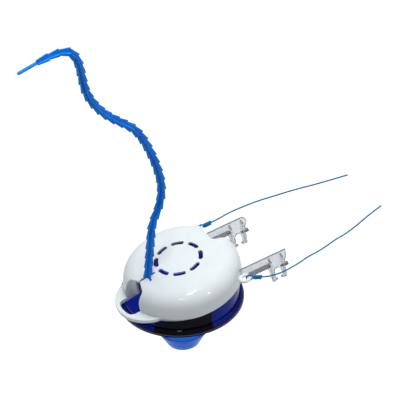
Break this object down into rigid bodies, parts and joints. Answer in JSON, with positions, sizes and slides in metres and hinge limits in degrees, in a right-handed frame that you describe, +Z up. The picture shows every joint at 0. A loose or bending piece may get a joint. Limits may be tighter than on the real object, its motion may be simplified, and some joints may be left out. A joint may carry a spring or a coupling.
{
  "type": "pool cleaner",
  "caption": "Wall-hung pool skimming head with a vented domed cover, clear blue bowl, hose outlet, barbed tail, sliding wall clips and tie cords",
  "frame": {"origin": "centre of the outlet's lower end", "axes": "+Z up along the outlet, -X towards the mouth, +X towards the wall clips, +Y to the left clip"},
  "size_m": [0.5021, 0.1664, 0.5399],
  "materials": {
    "white_plastic": "glossy white moulded plastic",
    "navy_clear": "clear dark blue plastic",
    "blue_clear": "clear light blue plastic",
    "clear_plastic": "clear plastic",
    "tail_blue": "satin flexible blue plastic",
    "black_rubber": "matt black rubber",
    "steel": "stainless screws",
    "foam": "closed-cell foam",
    "grey_plastic": "grey nylon",
    "cord_blue": "braided blue cord"
  },
  "bodies": {
    "head": {"dome_cover": "white_plastic", "mouth_lip": "white_plastic", "deck": "white_plastic", "deck_screws": "steel", "left_float": "foam", "right_float": "foam", "keyhole_grommet": "black_rubber", "upper_band": "navy_clear", "rim_seal": "black_rubber", "lower_bowl": "navy_clear", "outlet_funnel": "blue_clear", "outlet_seal": "black_rubber", "left_socket": "white_plastic", "right_socket": "white_plastic", "left_knot": "cord_blue", "right_knot": "cord_blue", "left_cord": "cord_blue", "right_cord": "cord_blue"},
    "tail": {"tail_strap": "tail_blue"},
    "left_clip": {"left_clip": "clear_plastic"},
    "right_clip": {"right_clip": "clear_plastic"},
    "left_screw": {"left_clamp_screw": "grey_plastic"},
    "right_screw": {"right_clamp_screw": "grey_plastic"}
  },
  "joints": [
    {"name": "tail_slide", "type": "slide", "parent": "head", "child": "tail", "axis": [0.1132, 0, 0.9936], "range_m": [-0.005, 0.02]},
    {"name": "left_clip_slide", "type": "slide", "parent": "head", "child": "left_clip", "axis": [0.9863, 0, 0.165], "range_m": [-0.005, 0.015]},
    {"name": "right_clip_slide", "type": "slide", "parent": "head", "child": "right_clip", "axis": [0.9863, 0, 0.165], "range_m": [-0.01, 0]},
    {"name": "left_clamp_turn", "type": "hinge", "parent": "left_clip", "child": "left_screw", "pos_m": [0.11088, 0.04, 0.11133], "axis": [0.9863, 0, 0.165], "continuous": true},
    {"name": "right_clamp_turn", "type": "hinge", "parent": "right_clip", "child": "right_screw", "pos_m": [0.12597, -0.05, 0.11386], "axis": [0.9863, 0, 0.165], "continuous": true}
  ]
}
